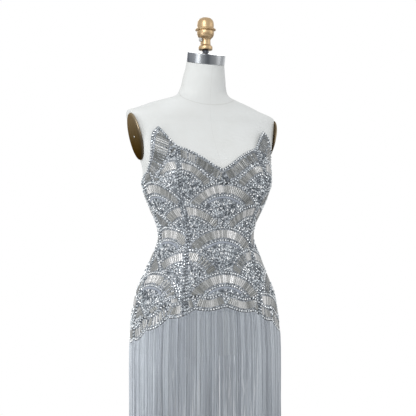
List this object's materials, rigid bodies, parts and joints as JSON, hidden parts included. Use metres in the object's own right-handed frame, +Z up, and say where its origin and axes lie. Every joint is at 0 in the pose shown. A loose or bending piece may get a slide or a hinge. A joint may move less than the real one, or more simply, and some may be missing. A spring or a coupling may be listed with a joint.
{
  "type": "beaded evening gown on a dress form",
  "caption": "Strapless beaded evening gown with a V neckline, pointed wings and a floor-length fringe, worn on a limbless canvas dress form with a round base.",
  "frame": {"origin": "centre of the round base's underside, on the floor", "axes": "+Z up, the gown's front faces -Y, its left side is +X"},
  "size_m": [0.4096, 0.36, 1.6014],
  "materials": {
    "beaded_cloth": "net covered in silver-grey bugle beads, rhinestones and satin bands",
    "fringe": "fine crinkled lilac-grey strands",
    "canvas": "off-white plain-weave canvas, matte",
    "bronze": "dark bronze, brushed",
    "polished_steel": "polished",
    "antique_brass": "antique satin",
    "stand_metal": "satin grey"
  },
  "bodies": {
    "root": {"bodice_front": "beaded_cloth", "bodice_side_front_left": "beaded_cloth", "bodice_side_front_right": "beaded_cloth", "bodice_side_back_left": "beaded_cloth", "bodice_side_back_right": "beaded_cloth", "bodice_back_left": "beaded_cloth", "bodice_back_right": "beaded_cloth", "fringe_front": "fringe", "fringe_back": "fringe", "form_torso": "canvas", "arm_plate_left": "bronze", "arm_plate_right": "bronze", "neck_cap": "polished_steel", "finial_stem": "polished_steel", "finial": "antique_brass", "thumbscrew": "polished_steel", "stand_base": "stand_metal", "stand_pole": "stand_metal"}
  },
  "joints": []
}
